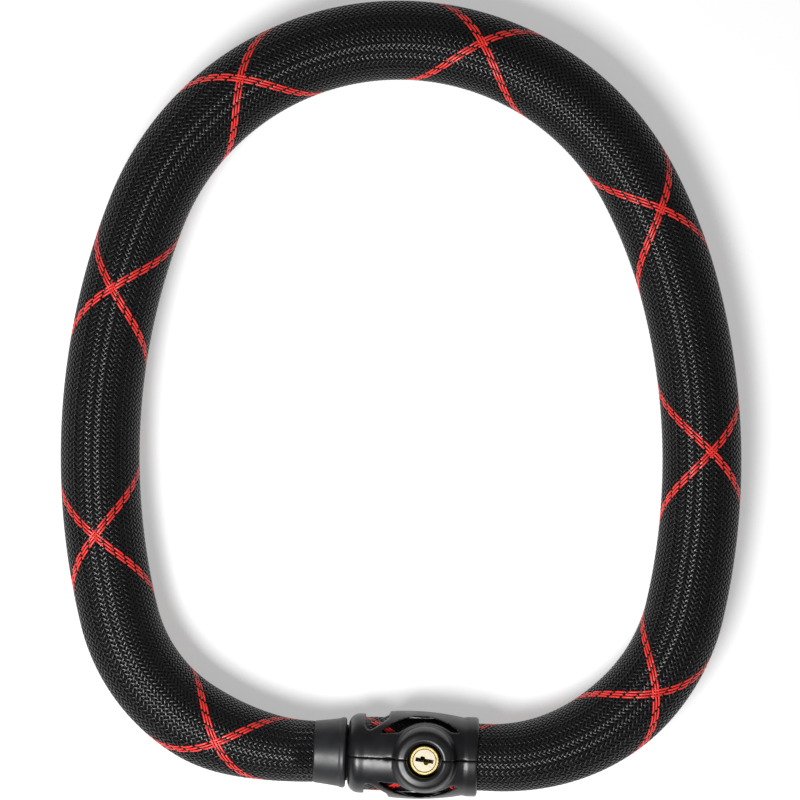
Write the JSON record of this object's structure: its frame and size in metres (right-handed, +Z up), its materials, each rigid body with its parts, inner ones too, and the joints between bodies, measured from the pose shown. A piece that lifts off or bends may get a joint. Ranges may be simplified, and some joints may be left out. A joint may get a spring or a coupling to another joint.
{
  "type": "chain lock",
  "caption": "Security chain lock: square-link chain in a black braided sleeve with red tracers, closed by a keyed lock body in a moulded jacket.",
  "frame": {"origin": "bottom centre of the bounding box of the closed loop lying flat", "axes": "+X along the lock's axis from the collar towards the chain's fixed end, +Y from the lock across the loop, +Z up, the way the key cylinder faces"},
  "size_m": [0.2674, 0.3128, 0.0352],
  "materials": {
    "hardened_steel": "black-grey hardened and plated, satin",
    "small_steel": "zinc plated",
    "nickel": "nickel plated, lightly brushed",
    "brass": "machined",
    "sleeve": "black polyester braid with red tracer yarns",
    "jacket": "moulded, satin, slightly polished on the edges",
    "collar": "moulded, matt"
  },
  "bodies": {
    "lock": {"lock_body": "hardened_steel", "bottom_cover": "small_steel", "cover_screws": "small_steel", "cylinder_pin": "small_steel", "cylinder_housing": "brass", "chain_rivet_lock": "small_steel", "sleeve_end_lock": "sleeve", "sleeve_clamp_lock": "small_steel", "jacket_upper": "jacket", "jacket_lower": "jacket"},
    "plug": {"plug": "nickel", "wafers": "brass", "plug_clip": "small_steel", "cam_disc": "small_steel"},
    "latch": {"latch": "hardened_steel", "latch_pin": "small_steel"},
    "link_01": {"chain_link_01": "hardened_steel", "sleeve_segment_01": "sleeve"},
    "link_02": {"chain_link_02": "hardened_steel"},
    "link_03": {"chain_link_03": "hardened_steel", "sleeve_segment_02": "sleeve"},
    "link_04": {"chain_link_04": "hardened_steel"},
    "link_05": {"chain_link_05": "hardened_steel", "sleeve_segment_03": "sleeve"},
    "link_06": {"chain_link_06": "hardened_steel"},
    "link_07": {"chain_link_07": "hardened_steel", "sleeve_segment_04": "sleeve"},
    "link_08": {"chain_link_08": "hardened_steel"},
    "link_09": {"chain_link_09": "hardened_steel", "sleeve_segment_05": "sleeve"},
    "link_10": {"chain_link_10": "hardened_steel"},
    "link_11": {"chain_link_11": "hardened_steel", "sleeve_segment_06": "sleeve"},
    "link_12": {"chain_link_12": "hardened_steel"},
    "link_13": {"chain_link_13": "hardened_steel", "sleeve_segment_07": "sleeve"},
    "link_14": {"chain_link_14": "hardened_steel"},
    "link_15": {"chain_link_15": "hardened_steel", "sleeve_segment_08": "sleeve"},
    "link_16": {"chain_link_16": "hardened_steel"},
    "link_17": {"chain_link_17": "hardened_steel", "sleeve_segment_09": "sleeve"},
    "link_18": {"chain_link_18": "hardened_steel"},
    "link_19": {"chain_link_19": "hardened_steel", "sleeve_segment_10": "sleeve"},
    "link_20": {"chain_link_20": "hardened_steel"},
    "link_21": {"chain_link_21": "hardened_steel", "sleeve_segment_11": "sleeve"},
    "link_22": {"chain_link_22": "hardened_steel"},
    "link_23": {"chain_link_23": "hardened_steel", "sleeve_segment_12": "sleeve"},
    "link_24": {"chain_link_24": "hardened_steel"},
    "link_25": {"chain_link_25": "hardened_steel", "sleeve_segment_13": "sleeve"},
    "stud": {"stud": "hardened_steel", "chain_rivet_stud": "small_steel", "sleeve_end_stud": "sleeve", "sleeve_clamp_stud": "small_steel", "collar": "collar"}
  },
  "joints": [
    {"name": "plug_turn", "type": "hinge", "parent": "lock", "child": "plug", "pos_m": [0.0131, -0.13927, 0.02], "axis": [0, 0, 1], "range_deg": [0, 90]},
    {"name": "latch_slide", "type": "slide", "parent": "lock", "child": "latch", "axis": [0, -1, 0], "range_m": [0, 0.002]},
    {"name": "chain_hinge_01", "type": "hinge", "parent": "lock", "child": "link_01", "pos_m": [0.0261, -0.13927, 0.0156], "axis": [0, 0, 1], "range_deg": [0, 2.2]},
    {"name": "chain_hinge_02", "type": "hinge", "parent": "link_01", "child": "link_02", "pos_m": [0.06601, -0.13451, 0.0156], "axis": [0, 0, 1], "range_deg": [0, 2.2]},
    {"name": "chain_hinge_03", "type": "hinge", "parent": "link_02", "child": "link_03", "pos_m": [0.08543, -0.12374, 0.0156], "axis": [0, 0, 1], "range_deg": [0, 2.2]},
    {"name": "chain_hinge_04", "type": "hinge", "parent": "link_03", "child": "link_04", "pos_m": [0.1096, -0.09162, 0.0156], "axis": [0, 0, 1], "range_deg": [0, 2.2]},
    {"name": "chain_hinge_05", "type": "hinge", "parent": "link_04", "child": "link_05", "pos_m": [0.11491, -0.07007, 0.0156], "axis": [0, 0, 1], "range_deg": [0, 2.2]},
    {"name": "chain_hinge_06", "type": "hinge", "parent": "link_05", "child": "link_06", "pos_m": [0.11819, -0.03001, 0.0156], "axis": [0, 0, 1], "range_deg": [0, 2.2]},
    {"name": "chain_hinge_07", "type": "hinge", "parent": "link_06", "child": "link_07", "pos_m": [0.11733, -0.00783, 0.0156], "axis": [0, 0, 1], "range_deg": [0, 2.2]},
    {"name": "chain_hinge_08", "type": "hinge", "parent": "link_07", "child": "link_08", "pos_m": [0.11098, 0.03187, 0.0156], "axis": [0, 0, 1], "range_deg": [-2.54, 0]},
    {"name": "chain_hinge_09", "type": "hinge", "parent": "link_08", "child": "link_09", "pos_m": [0.10485, 0.0532, 0.0156], "axis": [0, 0, 1], "range_deg": [-2.54, 0]},
    {"name": "chain_hinge_10", "type": "hinge", "parent": "link_09", "child": "link_10", "pos_m": [0.0881, 0.08974, 0.0156], "axis": [0, 0, 1], "range_deg": [-2.54, 0]},
    {"name": "chain_hinge_11", "type": "hinge", "parent": "link_10", "child": "link_11", "pos_m": [0.07465, 0.10741, 0.0156], "axis": [0, 0, 1], "range_deg": [-2.54, 0]},
    {"name": "chain_hinge_12", "type": "hinge", "parent": "link_11", "child": "link_12", "pos_m": [0.04207, 0.13094, 0.0156], "axis": [0, 0, 1], "range_deg": [-2.54, 0]},
    {"name": "chain_hinge_13", "type": "hinge", "parent": "link_12", "child": "link_13", "pos_m": [0.02107, 0.13815, 0.0156], "axis": [0, 0, 1], "range_deg": [-2.54, 0]},
    {"name": "chain_hinge_14", "type": "hinge", "parent": "link_13", "child": "link_14", "pos_m": [-0.0191, 0.13962, 0.0156], "axis": [0, 0, 1], "range_deg": [-2.6, 0]},
    {"name": "chain_hinge_15", "type": "hinge", "parent": "link_14", "child": "link_15", "pos_m": [-0.04056, 0.13395, 0.0156], "axis": [0, 0, 1], "range_deg": [-2.6, 0]},
    {"name": "chain_hinge_16", "type": "hinge", "parent": "link_15", "child": "link_16", "pos_m": [-0.07477, 0.11285, 0.0156], "axis": [0, 0, 1], "range_deg": [-2.6, 0]},
    {"name": "chain_hinge_17", "type": "hinge", "parent": "link_16", "child": "link_17", "pos_m": [-0.08947, 0.09622, 0.0156], "axis": [0, 0, 1], "range_deg": [-2.6, 0]},
    {"name": "chain_hinge_18", "type": "hinge", "parent": "link_17", "child": "link_18", "pos_m": [-0.1065, 0.0598, 0.0156], "axis": [0, 0, 1], "range_deg": [-2.6, 0]},
    {"name": "chain_hinge_19", "type": "hinge", "parent": "link_18", "child": "link_19", "pos_m": [-0.11215, 0.03833, 0.0156], "axis": [0, 0, 1], "range_deg": [-2.6, 0]},
    {"name": "chain_hinge_20", "type": "hinge", "parent": "link_19", "child": "link_20", "pos_m": [-0.11769, -0.00148, 0.0156], "axis": [0, 0, 1], "range_deg": [0, 2.21]},
    {"name": "chain_hinge_21", "type": "hinge", "parent": "link_20", "child": "link_21", "pos_m": [-0.11812, -0.02368, 0.0156], "axis": [0, 0, 1], "range_deg": [0, 2.21]},
    {"name": "chain_hinge_22", "type": "hinge", "parent": "link_21", "child": "link_22", "pos_m": [-0.11414, -0.06367, 0.0156], "axis": [0, 0, 1], "range_deg": [0, 2.21]},
    {"name": "chain_hinge_23", "type": "hinge", "parent": "link_22", "child": "link_23", "pos_m": [-0.10933, -0.08535, 0.0156], "axis": [0, 0, 1], "range_deg": [0, 2.21]},
    {"name": "chain_hinge_24", "type": "hinge", "parent": "link_23", "child": "link_24", "pos_m": [-0.0891, -0.12008, 0.0156], "axis": [0, 0, 1], "range_deg": [0, 2.21]},
    {"name": "chain_hinge_25", "type": "hinge", "parent": "link_24", "child": "link_25", "pos_m": [-0.07046, -0.13214, 0.0156], "axis": [0, 0, 1], "range_deg": [0, 2.21]},
    {"name": "chain_hinge_26", "type": "hinge", "parent": "link_25", "child": "stud", "pos_m": [-0.0309, -0.13927, 0.0156], "axis": [0, 0, 1], "range_deg": [0, 2.21]}
  ],
  "couplings": [
    {"joint": "latch_slide", "follows": "plug_turn", "m_per_rad": 0.0012732},
    {"joint": "chain_hinge_02", "follows": "chain_hinge_01", "ratio": 1},
    {"joint": "chain_hinge_03", "follows": "chain_hinge_01", "ratio": 1},
    {"joint": "chain_hinge_04", "follows": "chain_hinge_01", "ratio": 1},
    {"joint": "chain_hinge_05", "follows": "chain_hinge_01", "ratio": 1},
    {"joint": "chain_hinge_06", "follows": "chain_hinge_01", "ratio": 1},
    {"joint": "chain_hinge_07", "follows": "chain_hinge_01", "ratio": 1},
    {"joint": "chain_hinge_08", "follows": "chain_hinge_01", "ratio": -1.1536},
    {"joint": "chain_hinge_09", "follows": "chain_hinge_01", "ratio": -1.1536},
    {"joint": "chain_hinge_10", "follows": "chain_hinge_01", "ratio": -1.1536},
    {"joint": "chain_hinge_11", "follows": "chain_hinge_01", "ratio": -1.1536},
    {"joint": "chain_hinge_12", "follows": "chain_hinge_01", "ratio": -1.1536},
    {"joint": "chain_hinge_13", "follows": "chain_hinge_01", "ratio": -1.1536},
    {"joint": "chain_hinge_14", "follows": "chain_hinge_01", "ratio": -1.1829},
    {"joint": "chain_hinge_15", "follows": "chain_hinge_01", "ratio": -1.1829},
    {"joint": "chain_hinge_16", "follows": "chain_hinge_01", "ratio": -1.1829},
    {"joint": "chain_hinge_17", "follows": "chain_hinge_01", "ratio": -1.1829},
    {"joint": "chain_hinge_18", "follows": "chain_hinge_01", "ratio": -1.1829},
    {"joint": "chain_hinge_19", "follows": "chain_hinge_01", "ratio": -1.1829},
    {"joint": "chain_hinge_20", "follows": "chain_hinge_01", "ratio": 1.0027},
    {"joint": "chain_hinge_21", "follows": "chain_hinge_01", "ratio": 1.0027},
    {"joint": "chain_hinge_22", "follows": "chain_hinge_01", "ratio": 1.0027},
    {"joint": "chain_hinge_23", "follows": "chain_hinge_01", "ratio": 1.0027},
    {"joint": "chain_hinge_24", "follows": "chain_hinge_01", "ratio": 1.0027},
    {"joint": "chain_hinge_25", "follows": "chain_hinge_01", "ratio": 1.0027},
    {"joint": "chain_hinge_26", "follows": "chain_hinge_01", "ratio": 1.0027}
  ]
}
